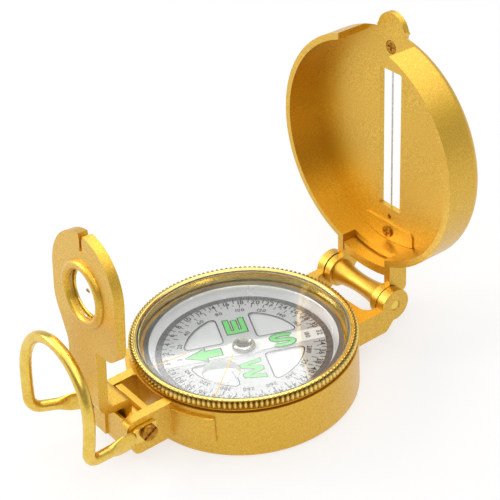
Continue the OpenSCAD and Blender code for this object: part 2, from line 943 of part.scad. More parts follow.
module lens_bracket() {
    front = -plate_off - plate_t;
    half = lens_hub_w / 2;
    lens_seat = lens_t + 0.6;
    color(paint)
        leaned()
            difference() {
                union() {
                    translate([0, -plate_off, 0])
                        rotate([90, 0, 0]) linear_extrude(plate_t) head_outline();
                    translate([0, front, lens_z]) rotate([90, 0, 0]) lens_ring();
                    side_slab(-neck_left + 1.9, neck_right - 0.2) foot_outline();
                    side_slab(-half, half) hub_outline();
                    side_slab(-half, -half + 4.4)
                        translate([-4.6, -4.6]) square([1, 7]);
                }
                translate([0, 0, lens_z])
                    rotate([90, 0, 0]) cylinder(r = lens_open_r, h = 20);
                translate([0, -plate_off - lens_seat, lens_z])
                    rotate([-90, 0, 0]) cylinder(r = lens_r + seat_fit, h = 10);
                translate([-slit_w / 2, -20, head_top - slit_l]) cube([slit_w, 20, 20]);
                translate([0, 0, head_top - slit_l])
                    rotate([90, 0, 0]) cylinder(r = slit_w * 0.67, h = 20);
                translate([0, 0, head_top])
                    rotate([90, 0, 0])
                        linear_extrude(20)
                            polygon([[-1.1, 0.5], [-slit_w / 2, -1.2], [slit_w / 2, -1.2], [1.1, 0.5]]);
                rod_x(screw_r + pin_fit, -20, 20);
            }
}

module lens() {
    bulge = 0.45;
    curve_r = (lens_r * lens_r + bulge * bulge) / (2 * bulge);
    color(clear)
        leaned()
            translate([0, -plate_off - lens_t / 2 - 0.6, lens_z])
                rotate([90, 0, 0])
                    rotate_extrude()
                        intersection() {
                            translate([0, -lens_t]) square([lens_r, 2 * lens_t]);
                            translate([0, lens_t / 2 - curve_r]) circle(curve_r, $fn = 720);
                            translate([0, curve_r - lens_t / 2]) circle(curve_r, $fn = 720);
                        }
}

module lens_retainer() {
    color(paint)
        leaned()
            translate([0, -plate_off, lens_z])
                rotate([90, 0, 0])
                    difference() {
                        cylinder(r = lens_r, h = 0.6);
                        translate([0, 0, -1]) cylinder(r = lens_open_r, h = 3);
                    }
}

// Thumb loop: one wire swept from tab to tab, flattened to a paddle beside each tab

// Right-hand bend corner and paddle centre, relative to the axis
bend_at = [loop_bend_half, -loop_reach, loop_rise];
paddle_at = [tab_in_x + tab_t + 0.6, -6.6, 0.6];
leg_dir = unit(bend_at - paddle_at);
arch_up = [0, sin(loop_lean), cos(loop_lean)];
side_dir = sin(loop_flare) * [1, 0, 0] + cos(loop_flare) * arch_up;
bend_turn = acos(side_dir * leg_dir);
bend_len = loop_bend_r * tan(bend_turn / 2);
bend_start = bend_at - bend_len * leg_dir;
side_start = bend_at + bend_len * side_dir;
side_curve = (loop_half - side_start[0]) / (1 - cos(loop_flare));
side_end = arc_at(side_start, side_dir, arch_up, side_curve, loop_flare);
paddle_rear = -0.47 * paddle_l;
paddle_front = 0.68 * paddle_l;

// Point and direction on an arc that leaves p along d and turns towards e
function arc_side(d, e) = unit(e - (e * d) * d);
function arc_at(p, d, e, r, a) = p + r * (sin(a) * d + (1 - cos(a)) * arc_side(d, e));
function arc_dir(d, e, a) = cos(a) * d + sin(a) * arc_side(d, e);
function ease(u) = let (v = min(1, max(0, u))) v * v * (3 - 2 * v);
function mix(a, b, u) = a + (b - a) * u;

// Half height and half thickness of the leg at distance q in front of the paddle's centre
function blunt(q) = q > -0.5 ? 1 : pow(max(0.05, 1 - pow((-q - 0.5) / (-paddle_rear - 0.3), 3)), 1 / 3);
function leg_h(q) = mix(paddle_h / 2, loop_d / 2, ease((q - 0.4) / (paddle_front - 0.4))) * blunt(q);
function leg_w(q) = mix(paddle_t / 2, loop_d / 2, ease((q - 1) / (paddle_front - 1)));

// Stations along the right half: [point, direction, half width, half height]
leg_stations = [
    for (i = [0:13])
        let (q = mix(paddle_rear, paddle_front, i / 13))
        [paddle_at + q * leg_dir, leg_dir, leg_w(q), leg_h(q)]
];
bend_stations = [
    for (i = [0:7])
        let (a = bend_turn * i / 7)
        [
            arc_at(bend_start, leg_dir, side_dir, loop_bend_r, a),
            arc_dir(leg_dir, side_dir, a), loop_d / 2, loop_d / 2
        ]
];
side_stations = [
    for (i = [1:3])
        let (a = loop_flare * i / 3)
        [
            arc_at(side_start, side_dir, arch_up, side_curve, a),
            arc_dir(side_dir, arch_up, a), loop_d / 2, loop_d / 2
        ]
];
top_stations = [
    for (i = [1:10])
        let (a = 9 * i)
        [
            arc_at(side_end, arch_up, [-1, 0, 0], loop_half, a),
            arc_dir(arch_up, [-1, 0, 0], a), loop_d / 2, loop_d / 2
        ]
];

function wire_ring(s, sides) =
    let (
        out = abs(s[1][0]) > 0.999 ? arch_up : unit([1, 0, 0] - s[1][0] * s[1]),
        up = cross(s[1], out)
    )
    [
        for (k = [0:sides - 1])
            let (a = 360 * k / sides) s[0] + s[2] * cos(a) * out + s[3] * sin(a) * up
    ];
function mirrored_x(ring) = [for (p = ring) [-p[0], p[1], p[2]]];

module loop_wire() {
    sides = 16;
    half = [
        for (s = concat(leg_stations, bend_stations, side_stations, top_stations))
            wire_ring(s, sides)
    ];
    last = len(half) - 1;
    rings = concat(half, [for (i = [1:last]) mirrored_x(half[last - i])]);
    count = len(rings);
    faces = [
        for (i = [0:count - 2])
            for (k = [0:sides - 1])
                let (m = (k + 1) % sides, a = i * sides, b = a + sides)
                each [[a + k, b + k, b + m], [a + k, b + m, a + m]]
    ];
    start_cap = [for (k = [0:sides - 1]) k];
    end_cap = [for (k = [0:sides - 1]) count * sides - 1 - k];
    polyhedron([for (r = rings) each r], concat(faces, [start_cap, end_cap]));
}

module loop_tab_outline() {
    end = 2.2;
    half = 1.9;
    polygon(rounded([
        [-4.2, -half + 0.3, 1.2],
        [end, -half, 0.4],
        [end, half, 0.4],
        [-3.6, half, 1.4]
    ]));
}

module thumb_loop() {
    color(brass)
        translate([0, pivot_y, pivot_z])
            difference() {
                union() {
                    loop_wire();
                    both_sides() side_slab(tab_in_x, tab_out_x) loop_tab_outline();
                }
                rod_x(screw_r + pin_fit, -20, 20);
            }
}

// Two slotted screws, from the loop tabs into the bracket's hub
module loop_screws() {
    grip = 3;
    head_x = tab_out_x + 0.1;
    color(brass)
        translate([0, pivot_y, pivot_z])
            both_sides()
                difference() {
                    union() {
                        rod_x(screw_r, lens_hub_w / 2 - grip, head_x + eps);
                        rod_x(screw_head_d / 2, head_x, head_x + screw_head_t);
                    }
                    rotate([30, 0, 0])
                        translate([head_x + screw_head_t - 0.35, -3, -0.35]) cube([1, 6, 0.7]);
                }
}

case();
capsule_cup();
capsule_window();
capsule_seal();
expansion_diaphragm();
pivot_post();
pivot_tip();
dial_card();
magnet_bar();
card_hub();
jewel_bearing();
jewel_cap();
bezel_retainer();
bezel_ring();
crystal();
crystal_gasket();
index_lines();
cover();
wire_plate();
sighting_wire();
wire_screws();
lens_bracket();
lens();
lens_retainer();
thumb_loop();
loop_screws();
hinge_pin();
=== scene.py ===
import math

import bmesh
import bpy
from mathutils import Matrix, Vector
from mathutils.geometry import tessellate_polygon


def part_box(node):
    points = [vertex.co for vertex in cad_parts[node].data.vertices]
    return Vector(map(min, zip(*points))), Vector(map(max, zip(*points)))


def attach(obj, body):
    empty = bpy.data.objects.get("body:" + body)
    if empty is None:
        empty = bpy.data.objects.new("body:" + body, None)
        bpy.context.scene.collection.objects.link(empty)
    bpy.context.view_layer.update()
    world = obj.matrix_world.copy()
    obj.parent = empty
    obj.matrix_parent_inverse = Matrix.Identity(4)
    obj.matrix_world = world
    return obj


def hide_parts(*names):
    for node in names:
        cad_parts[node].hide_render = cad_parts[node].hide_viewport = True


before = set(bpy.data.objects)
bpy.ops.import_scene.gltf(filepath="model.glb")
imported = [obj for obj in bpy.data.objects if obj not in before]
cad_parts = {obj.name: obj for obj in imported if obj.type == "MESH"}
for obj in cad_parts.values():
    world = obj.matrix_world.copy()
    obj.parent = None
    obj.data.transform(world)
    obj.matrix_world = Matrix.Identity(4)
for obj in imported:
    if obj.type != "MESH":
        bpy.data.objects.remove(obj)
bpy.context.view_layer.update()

MM = 0.001
scene = bpy.context.scene
scene.view_settings.view_transform = "Standard"

# Camera at the photograph's angle
FOCUS = Vector((-30.577542, 25.245307, 10.0)) * MM
AZ, EL, ROLL = (math.radians(a) for a in (54.6018974, 33.3875408, -3.9775900))
DIST = 357.871831 * MM
FOCAL_PX, FRAME_PX = 1435.0, 500.0
SENSOR = 36
CLIP = 0.01, 20


def place_camera():
    back = Vector((math.sin(AZ) * math.cos(EL), -math.cos(AZ) * math.cos(EL), math.sin(EL)))
    level = Vector((math.cos(AZ), math.sin(AZ), 0))
    rise = back.cross(level)
    right = level * math.cos(ROLL) + rise * math.sin(ROLL)
    up = rise * math.cos(ROLL) - level * math.sin(ROLL)
    data = bpy.data.cameras.new("camera")
    data.sensor_width = SENSOR
    data.lens = FOCAL_PX / FRAME_PX * SENSOR
    data.clip_start, data.clip_end = CLIP
    cam = bpy.data.objects.new("camera", data)
    scene.collection.objects.link(cam)
    place = Matrix((right, up, back)).transposed().to_4x4()
    place.translation = FOCUS + back * DIST
    cam.matrix_world = place
    scene.camera = cam


place_camera()


# Node helpers
def rgb(r, g, b):
    """sRGB 0 to 255 as linear."""
    return tuple(c / 255 / 12.92 if c < 11 else ((c / 255 + 0.055) / 1.055) ** 2.4
                 for c in (r, g, b))


def rgba(colour):
    """Four values from one grey level or from three."""
    return (colour, colour, colour, 1) if isinstance(colour, (int, float)) else (*colour, 1)


class Nodes:
    """Short calls for the nodes of one tree."""

    def __init__(self, tree):
        tree.nodes.clear()
        self.tree = tree

    def put(self, socket, value):
        """Link another socket to this one, or set its value."""
        if isinstance(value, bpy.types.NodeSocket):
            self.tree.links.new(value, socket)
        elif socket.type == "RGBA":
            socket.default_value = rgba(value)
        else:
            socket.default_value = value

    def fill(self, node, values):
        for socket, value in zip(node.inputs, values):
            self.put(socket, value)
        return node

    def add(self, kind, **sockets):
        node = self.tree.nodes.new(kind)
        for key, value in sockets.items():
            self.put(node.inputs[key.replace("_", " ")], value)
        return node

    def ramp(self, fac, stops):
        node = self.add("ShaderNodeValToRGB", Fac=fac)
        marks = node.color_ramp.elements
        while len(marks) < len(stops):
            marks.new(0.5)
        for mark, (place, colour) in zip(marks, stops):
            mark.position = place
            mark.color = rgba(colour)
        return node.outputs[0]

    def spread(self, fac, low, high):
        """A ramp over the middle of a noise."""
        return self.ramp(fac, [(0.3, low), (0.7, high)])

    def mix(self, fac, a, b, blend="MIX"):
        node = self.add("ShaderNodeMix")
        node.data_type, node.blend_type = "RGBA", blend
        for i, value in ((0, fac), (6, a), (7, b)):
            self.put(node.inputs[i], value)
        return node.outputs[2]

    def maths(self, kind, a, b):
        node = self.add("ShaderNodeMath")
        node.operation = kind
        return self.fill(node, (a, b)).outputs[0]

    def vector_maths(self, kind, *values):
        node = self.add("ShaderNodeVectorMath")
        node.operation = kind
        return self.fill(node, values).outputs


class Shader(Nodes):
    """A material with one Principled BSDF."""

    def __init__(self, name, **inputs):
        self.mat = bpy.data.materials.new(name)
        self.mat.use_nodes = True
        super().__init__(self.mat.node_tree)
        self.out = self.add("ShaderNodeOutputMaterial")
        self.bsdf = self.add("ShaderNodeBsdfPrincipled", **inputs)
        self.put(self.out.inputs[0], self.bsdf.outputs[0])
        self.where = self.add("ShaderNodeTexCoord").outputs["Object"]

    def set(self, name, value):
        self.put(self.bsdf.inputs[name], value)

    def noise(self, scale, detail=2.0, rough=0.5):
        return self.add("ShaderNodeTexNoise", Scale=scale, Detail=detail, Roughness=rough,
                        Vector=self.where).outputs[0]

    def bump(self, height, strength, distance):
        return self.add("ShaderNodeBump", Height=height, Strength=strength,
                        Distance=distance).outputs[0]

    def radius(self, scale):
        """Distance from the z axis in metres, times scale."""
        flat = self.vector_maths("MULTIPLY", self.where, (scale, scale, 0))["Vector"]
        return self.vector_maths("LENGTH", flat)["Value"]

    def clear_shadow(self):
        """Lamps shine through the glass."""
        path = self.add("ShaderNodeLightPath").outputs["Is Shadow Ray"]
        through = self.add("ShaderNodeBsdfTransparent").outputs[0]
        both = self.fill(self.add("ShaderNodeMixShader"), (path, self.bsdf.outputs[0], through))
        self.put(self.out.inputs[0], both.outputs[0])


# Materials
def gold_paint():
    s = Shader("gold_paint", Metallic=1.0, Roughness=0.36, Coat_Weight=0.7, Coat_Roughness=0.3)
    fine = s.noise(3600, 2.5, 0.65)
    broad = s.noise(55, 3.0, 0.5)
    grain = s.ramp(fine, [(0.30, rgb(208, 160, 36)), (0.52, rgb(230, 184, 54)),
                          (0.72, rgb(248, 212, 86))])
    cloud = s.ramp(broad, [(0.35, 0.0), (0.7, 0.3)])
    s.set("Base Color", s.mix(cloud, grain, rgb(222, 172, 50)))
    s.set("Roughness", s.spread(fine, 0.50, 0.38))
    s.set("Normal", s.bump(fine, 0.22, 0.00003))
    return s.mat


def polished_brass():
    s = Shader("polished_brass", Metallic=1.0, Roughness=0.16)
    fine = s.noise(900, 3.0, 0.6)
    s.set("Base Color", s.spread(fine, rgb(226, 188, 96), rgb(246, 218, 132)))
    s.set("Roughness", s.spread(s.noise(240, 3.0), 0.12, 0.24))
    s.set("Normal", s.bump(fine, 0.06, 0.00004))
    return s.mat


def knurl_brass():
    """Polished brass with painted shade in the groove and between the beads, by radius in mm."""
    groove_start = 24.9
    s = Shader("knurl_brass", Metallic=1.0, Roughness=0.2)
    depth = s.maths("SUBTRACT", s.radius(1 / MM), groove_start)
    fine = s.noise(900, 3.0, 0.6)
    bright = s.spread(fine, rgb(232, 196, 100), rgb(248, 222, 138))
    # Painted shade: the base colour darkens in the groove and in the valleys between the beads.
    level = s.ramp(depth, [(0.0, 1.0), (0.10, 0.8), (0.2, 0.12), (0.5, 0.3), (0.82, 1.0)])
    s.set("Base Color", s.mix(level, rgb(112, 84, 24), bright))
    s.set("Roughness", s.spread(s.noise(240, 3.0), 0.14, 0.26))
    return s.mat


def satin_brass():
    s = Shader("satin_brass", Metallic=1.0, Roughness=0.27)
    fine = s.noise(1500, 3.0, 0.6)
    wear = s.noise(170, 4.0, 0.6)
    base = s.spread(fine, rgb(226, 186, 72), rgb(244, 210, 104))
    rubbed = s.ramp(wear, [(0.45, 0.0), (0.66, 0.7)])
    s.set("Base Color", s.mix(rubbed, base, rgb(244, 214, 112)))
    s.set("Roughness", s.ramp(wear, [(0.35, 0.34), (0.65, 0.2)]))
    s.set("Normal", s.bump(fine, 0.14, 0.00004))
    return s.mat


def dark_brass():
    s = Shader("dark_brass", Metallic=1.0, Roughness=0.34)
    fine = s.noise(1400, 3.0, 0.6)
    s.set("Base Color", s.spread(fine, rgb(150, 100, 28), rgb(206, 152, 60)))
    s.set("Roughness", s.spread(fine, 0.42, 0.3))
    return s.mat


def steel():
    s = Shader("steel", Metallic=1.0, Roughness=0.24)
    fine = s.noise(1200, 3.0, 0.6)
    s.set("Base Color", s.spread(fine, rgb(196, 196, 192), rgb(226, 226, 222)))
    s.set("Roughness", s.spread(fine, 0.20, 0.30))
    return s.mat


def cup_metal():
    """Pale metal with a painted glow, a little lit from within because it lies deep under two
    panes.
    """
    rough = 0.22
    s = Shader("cup_metal", Metallic=0.3, Roughness=rough)
    cloud = s.noise(260)
    s.set("Base Color", s.spread(cloud, rgb(246, 246, 245), rgb(254, 254, 253)))
    s.set("Roughness", s.spread(cloud, rough, rough + 0.06))
    # Painted glow: the metal gives off a little white light, so that it looks brighter under the
    # panes.
    s.set("Emission Color", 1.0)
    s.set("Emission Strength", 0.16)
    return s.mat


def cap_metal():
    """Painted highlight on the rim and painted shade in the hollow; the ramp runs over the cap's
    first 3 mm.
    """
    s = Shader("cap_metal", Metallic=1.0, Roughness=0.16)
    # Painted shade and highlight by radius: dark in the hollow, bright on the crest, darker on the
    # outer slope.
    s.set("Base Color", s.ramp(s.radius(333), [
        (0.0, rgb(52, 48, 44)), (0.36, rgb(84, 78, 70)), (0.56, rgb(176, 170, 160)),
        (0.72, rgb(206, 202, 194)), (0.9, rgb(150, 146, 138))]))
    s.set("Roughness", s.spread(s.noise(400), 0.14, 0.22))
    return s.mat


def clear(name, ior):
    s = Shader(name, Roughness=0.0, IOR=ior, Transmission_Weight=1.0)
    s.set("Base Color", s.spread(s.noise(30), rgb(252, 253, 252), rgb(255, 255, 255)))
    s.clear_shadow()
    return s.mat


def card_face():
    s = Shader("card_face", Roughness=0.42)
    fine = s.noise(2600, 2.0, 0.6)
    s.set("Base Color", s.spread(fine, rgb(198, 199, 199), rgb(210, 211, 211)))
    s.set("Roughness", s.spread(s.noise(300), 0.38, 0.48))
    return s.mat


def flat_paint(name, dark, light, rough, glow=0.0):
    s = Shader(name, Roughness=rough)
    fine = s.noise(1800, 2.0, 0.6)
    colour = s.spread(fine, rgb(*dark), rgb(*light))
    s.set("Base Color", colour)
    s.set("Roughness", s.spread(fine, rough, rough + 0.08))
    # Painted glow: the paint gives off a little light of its own colour.
    if glow:
        s.set("Emission Color", colour)
        s.set("Emission Strength", glow)
    return s.mat


def jewel():
    s = Shader("jewel", Roughness=0.08, IOR=1.76)
    s.set("Base Color", s.spread(s.noise(900), rgb(150, 10, 30), rgb(190, 20, 46)))
    return s.mat


GOLD, BRASS, KNURL, SATIN, DARK = (gold_paint(), polished_brass(), knurl_brass(), satin_brass(),
                                   dark_brass())
STEEL, CUP, CAP, CARD, JEWEL = steel(), cup_metal(), cap_metal(), card_face(), jewel()
# The lens bends light little, so that the background shows through it
GLASS, LENS, AIR = clear("glass", 1.45), clear("lens_glass", 1.15), clear("air", 0.80)
INK = flat_paint("ink", (20, 19, 19), (30, 28, 28), 0.5)
GREY_INK = flat_paint("grey_ink", (132, 134, 134), (146, 147, 147), 0.5)
# The green paint has a small painted glow.
GREEN = flat_paint("index_green", (100, 210, 100), (120, 226, 118), 0.45, glow=0.03)
AMBER = flat_paint("index_amber", (236, 176, 60), (246, 196, 90), 0.45)
WHITE = flat_paint("bar_white", (246, 245, 242), (252, 251, 248), 0.3)
PANE = flat_paint("pane_grey", (222, 223, 223), (230, 231, 231), 0.4)
SILICONE = flat_paint("silicone", (190, 188, 180), (204, 202, 196), 0.4)

# CAD nodes that are shown as they are, and the width in mm of their rounded edges
FINISH = {
    "case": GOLD, "cover": GOLD, "lens_bracket": GOLD, "wire_plate": GOLD, "card_hub": BRASS,
    "hinge_pin": SATIN, "thumb_loop": SATIN, "lens_retainer": SATIN,
    "wire_screws": DARK, "loop_screws": DARK,
    "sighting_wire": STEEL, "bezel_retainer": STEEL, "magnet_bar": STEEL, "pivot_post": STEEL,
    "pivot_tip": STEEL, "expansion_diaphragm": CUP, "lens": LENS, "jewel_bearing": JEWEL,
}
ROUNDED = {
    "case": 0.22, "cover": 0.22, "lens_bracket": 0.2, "wire_plate": 0.08, "loop_screws": 0.1,
    "wire_screws": 0.06, "hinge_pin": 0.15, "lens_retainer": 0.12, "thumb_loop": 0.12,
}
WELD_DIST = 1e-6
FLAT_ANGLE, EDGE_ANGLE = math.radians(0.3), math.radians(32)


def dress(name):
    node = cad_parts[name]
    node.data.materials.clear()
    node.data.materials.append(FINISH[name])
    if name not in ROUNDED:
        return
    weld = node.modifiers.new("weld", "WELD")
    weld.merge_threshold = WELD_DIST
    flat = node.modifiers.new("flat", "DECIMATE")
    flat.decimate_type = "DISSOLVE"
    flat.angle_limit = FLAT_ANGLE
    edge = node.modifiers.new("edge", "BEVEL")
    edge.width = ROUNDED[name] * MM
    edge.segments = 2
    edge.limit_method = "ANGLE"
    edge.angle_limit = EDGE_ANGLE
    edge.use_clamp_overlap = True
    node.modifiers.new("shade", "WEIGHTED_NORMAL")


for name in FINISH:
    dress(name)

# Bezel, glass, capsule, hub cap and bubble, turned from profiles of radius and height in mm
BEZEL_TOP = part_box("bezel_ring")[1][2] / MM
CARD_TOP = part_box("dial_card")[1][2] / MM
SHARP = math.radians(35)
MERGE_DIST = 1e-7
GLASS_EDGE = 0.08


def raised(profile, z):
    return [(r, z + h) for r, h in profile]


def turned(name, profile, material, body, slot, *nodes, steps=192, wave=None):
    """Closed ring or disc; wave gives each point's radius and height by angle."""
    bm = bmesh.new()
    rings = []
    for i in range(steps):
        a = 2 * math.pi * i / steps
        ring = []
        for k, (r, z) in enumerate(profile):
            if wave:
                r, z = wave(k, i, r, z)
            ring.append(bm.verts.new((r * math.cos(a) * MM, r * math.sin(a) * MM, z * MM)))
        rings.append(ring)
    n = len(profile)
    for i in range(steps):
        p, q = rings[i], rings[(i + 1) % steps]
        for k in range(n):
            m = (k + 1) % n
            bm.faces.new((p[k], q[k], q[m], p[m]))
    bmesh.ops.remove_doubles(bm, verts=bm.verts, dist=MERGE_DIST)
    bmesh.ops.recalc_face_normals(bm, faces=bm.faces)
    mesh = bpy.data.meshes.new(name)
    bm.to_mesh(mesh)
    bm.free()
    mesh.materials.append(material)
    for f in mesh.polygons:
        f.use_smooth = True
    ob = bpy.data.objects.new(name, mesh)
    scene.collection.objects.link(ob)
    mesh.set_sharp_from_angle(angle=SHARP)
    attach(ob, body)
    if nodes:
        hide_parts(*nodes)
    return ob


# Beads round the bezel, steps per bead, and how far each point of the profile waves
TEETH, STEPS = 140, 6
SIDE_POINTS = {2: 0.16, 3: 0.30, 4: 0.32, 5: 0.30, 6: 0.28, 7: 0.22, 8: 0.08}
TOP_POINTS = {6: 0.08, 7: 0.12, 8: 0.08}


def knurl(k, i, r, z):
    """Round beads on the side that reach over the top edge."""
    bead = math.cos(2 * math.pi * (i % STEPS) / STEPS)
    return r + SIDE_POINTS.get(k, 0) * bead, z + TOP_POINTS.get(k, 0) * bead


def bezel():
    """Knurled ring with a lip over the glass and a groove for the retainer, and its neck."""
    ring = [(25.2, -2.1), (25.4, -2.02), (25.5, -1.86), (25.62, -1.6), (25.68, -1.15),
            (25.62, -0.7), (25.46, -0.36), (25.2, -0.16), (24.96, -0.2), (24.84, -0.1),
            (24.66, -0.02), (24.48, 0), (24.3, -0.06), (24.1, -0.24), (23.98, -0.32),
            (24.06, -0.34), (24.06, -0.66), (23.5, -0.7), (23.3, -1.0), (23.2, -4.9),
            (24.3, -4.9), (24.3, -4.5), (23.75, -4.5), (23.75, -3.8), (24.3, -3.8), (24.3, -2.1)]
    neck = [(25.0, -2.4), (25.5, -2.36), (25.56, -2.26), (25.56, -2.08), (25.0, -2.04)]
    turned("knurled_bezel", raised(ring, BEZEL_TOP), KNURL, "bezel_body", "polished_brass",
           "bezel_ring", steps=TEETH * STEPS, wave=knurl)
    turned("bezel_neck", raised(neck, BEZEL_TOP), GOLD, "bezel_body", "gold_paint")


def glass_disc(name, node, r, z, thick, body):
    """Pane with bevelled edges, from its radius, underside and thickness."""
    e = GLASS_EDGE
    profile = [(0, z), (r - e, z), (r, z + e), (r, z + thick - e), (r - e, z + thick),
               (0, z + thick)]
    turned(name, profile, GLASS, body, "glass", node)


CUP_TOP = CARD_TOP + 2.0
CUP_FOOT, CUP_UNDER, CUP_FLOOR = 2.0, 4.2, 5.2
POST_R, CUP_IN, CUP_OUT = 1.22, 21.4, 22.5
SEAL_T = 0.2
WINDOW_PANE_R, WINDOW_PANE_T = 22.6, 0.5


def capsule():
    """Cup with a corner at its floor and a skirt, its seal and its window."""
    cup = [(POST_R, CUP_UNDER), (POST_R, CUP_FLOOR), (20.9, CUP_FLOOR), (CUP_IN, 5.7),
           (CUP_IN, CUP_TOP - 0.1), (21.5, CUP_TOP), (22.4, CUP_TOP), (CUP_OUT, CUP_TOP - 0.1),
           (CUP_OUT, CUP_FOOT), (CUP_IN, CUP_FOOT), (CUP_IN, CUP_UNDER)]
    turned("capsule_shell", cup, CUP, "case_body", "cup_metal", "capsule_cup")
    seal = raised([(21.5, 0), (CUP_OUT, 0), (CUP_OUT, SEAL_T), (21.5, SEAL_T)], CUP_TOP)
    turned("window_seal", seal, SILICONE, "case_body", "rubber", "capsule_seal")
    glass_disc("capsule_glass", "capsule_window", WINDOW_PANE_R, CUP_TOP + SEAL_T,
               WINDOW_PANE_T, "case_body")


CRYSTAL_UNDER, CRYSTAL_R, CRYSTAL_T = BEZEL_TOP - 0.65, 24.03, 0.3


def crystal():
    """The bezel's pane and the gasket under its edge."""
    glass_disc("bezel_glass", "crystal", CRYSTAL_R, CRYSTAL_UNDER, CRYSTAL_T, "bezel_body")
    gasket = raised([(23.6, -0.04), (24.0, -0.04), (24.0, 0), (23.6, 0)], CRYSTAL_UNDER)
    turned("glass_gasket", gasket, SILICONE, "bezel_body", "rubber", "crystal_gasket")


CAP_RISE = 0.3


def cap():
    """Domed cap with a shallow hollow on top."""
    profile = [(1.52, 0), (2.68, 0), (2.68, 0.25), (2.5, 0.72), (2.2, 1.0), (1.98, 1.06),
               (1.86, 1.0), (1.5, 0.7), (1.2, 0.5), (0.6, 0.42), (0, 0.4), (0, 0.34), (1.52, 0.34)]
    turned("hub_cap", raised(profile, CARD_TOP + CAP_RISE), CAP, "dial_body", "cup_metal",
           "jewel_cap", steps=96)


BUBBLE_AT, BUBBLE_R, BUBBLE_HIGH = (5.2, -10.2), 4.3, 1.0


def bubble():
    """Air bubble under the capsule's window, towards the front right."""
    half = BUBBLE_HIGH * 0.5
    profile = [(max(BUBBLE_R * math.cos(a), 0), CUP_TOP - half + half * math.sin(a)) for a in
               (math.radians(-90 + 15 * i) for i in range(13))]
    ob = turned("air_bubble", profile, AIR, "case_body", "glass", steps=96)
    for v in ob.data.vertices:
        v.co.x += BUBBLE_AT[0] * MM
        v.co.y += BUBBLE_AT[1] * MM


bezel()
capsule()
crystal()
cap()
bubble()

# Dial printing, drawn in the card's frame in mm: north at -Y, degrees clockwise from above
CARD_TURN = math.radians(-23.4)
CARD_SCALE = 0.975


def way(d):
    """Outward direction at d degrees on the card, and the direction to its right."""
    a = math.radians(d)
    return Vector((-math.sin(a), -math.cos(a))), Vector((-math.cos(a), math.sin(a)))


def dial_piece(name, parts, z, material, thick=0.0):
    """One mesh on the card from parts of 2-D points and faces."""
    verts, faces = [], []
    for pts, polys in parts:
        k = len(verts)
        verts += [(x * CARD_SCALE * MM, y * CARD_SCALE * MM, 0) for x, y in pts]
        faces += [[k + i for i in f] for f in polys]
    mesh = bpy.data.meshes.new(name)
    mesh.from_pydata(verts, [], faces)
    mesh.materials.append(material)
    bm = bmesh.new()
    bm.from_mesh(mesh)
    bmesh.ops.recalc_face_normals(bm, faces=bm.faces)
    for f in bm.faces:
        if f.normal.z < 0:
            f.normal_flip()
    bm.to_mesh(mesh)
    bm.free()
    ob = bpy.data.objects.new(name, mesh)
    ob.rotation_euler.z = CARD_TURN
    ob.location.z = z * MM
    scene.collection.objects.link(ob)
    if thick:
        solid = ob.modifiers.new("thick", "SOLIDIFY")
        solid.thickness = thick * MM
        solid.offset = -1
    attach(ob, "dial_body")
    return ob


def circle(r, steps=240):
    return [Vector((r * math.cos(a), r * math.sin(a))) for a in
            (2 * math.pi * i / steps for i in range(steps))]


def tick(d, r0, r1, width):
    out, side = way(d)
    s = side * (width / 2)
    return [out * r0 - s, out * r1 - s, out * r1 + s, out * r0 + s], [[0, 1, 2, 3]]


def band(r0, r1, steps=180):
    pts = [r * Vector((math.cos(a), math.sin(a))) for a in
           (2 * math.pi * i / steps for i in range(steps)) for r in (r0, r1)]
    n = 2 * steps
    return pts, [[2 * i, 2 * i + 1, (2 * i + 3) % n, (2 * i + 2) % n] for i in range(steps)]


def filled(loops):
    """Outline with holes as one part."""
    tris = tessellate_polygon([[Vector((x, y, 0)) for x, y in loop] for loop in loops])
    return [p for loop in loops for p in loop], [list(f) for f in tris]


def ribbon(line, half, closed=False):
    """A stroke of one width along a line."""
    n = len(line)
    left, right = [], []
    for i, p in enumerate(line):
        a = line[(i - 1) % n] if closed or i else p
        b = line[(i + 1) % n] if closed or i < n - 1 else p
        t = (b - a).normalized()
        s = Vector((-t.y, t.x))
        u = (p - a).normalized() if (p - a).length else t
        grow = half / max(0.5, abs(s.dot(Vector((-u.y, u.x)))))
        left.append(p + s * grow)
        right.append(p - s * grow)
    last = n if closed else n - 1
    return left + right, [[i, (i + 1) % n, n + (i + 1) % n, n + i] for i in range(last)]


FONT_WEIGHT, FONT_GAP = 0.022, 0.14


def glyphs():
    """Digits as 2-D parts with cap height 1, from the built-in font."""
    found = {}
    for ch in "0123456789":
        data = bpy.data.curves.new("digit", "FONT")
        data.body = ch
        data.offset = FONT_WEIGHT
        data.resolution_u = 3
        ob = bpy.data.objects.new("digit", data)
        scene.collection.objects.link(ob)
        bpy.context.view_layer.update()
        mesh = ob.to_mesh()
        pts = [Vector((v.co.x, v.co.y)) for v in mesh.vertices]
        faces = [list(f.vertices) for f in mesh.polygons]
        ob.to_mesh_clear()
        bpy.data.objects.remove(ob)
        bpy.data.curves.remove(data)
        found[ch] = (pts, faces)
    high = max(p.y for p in found["1"][0])
    out = {}
    for ch, (pts, faces) in found.items():
        x0 = min(p.x for p in pts)
        pts = [Vector((p.x - x0, p.y)) / high for p in pts]
        out[ch] = (pts, faces, max(p.x for p in pts))
    return out


DIGITS = glyphs()


def number(text, d, r, high):
    """Figures of one height, centred at radius r, their tops outward."""
    width = sum(DIGITS[c][2] for c in text) + FONT_GAP * (len(text) - 1)
    out, side = way(d)
    x, parts = -width / 2, []
    for c in text:
        pts, faces, w = DIGITS[c]
        parts.append(([out * (r + (p.y - 0.5) * high) + side * (x + p.x) * high for p in pts],
                      faces))
        x += w + FONT_GAP
    return parts


def letter_frame(d, r0, high):
    """Places letter outlines that read outward along the radius."""
    out, _ = way(d)
    up = Vector((-out.y, out.x))
    return lambda u, v: out * (r0 + u) + up * (v - high / 2)


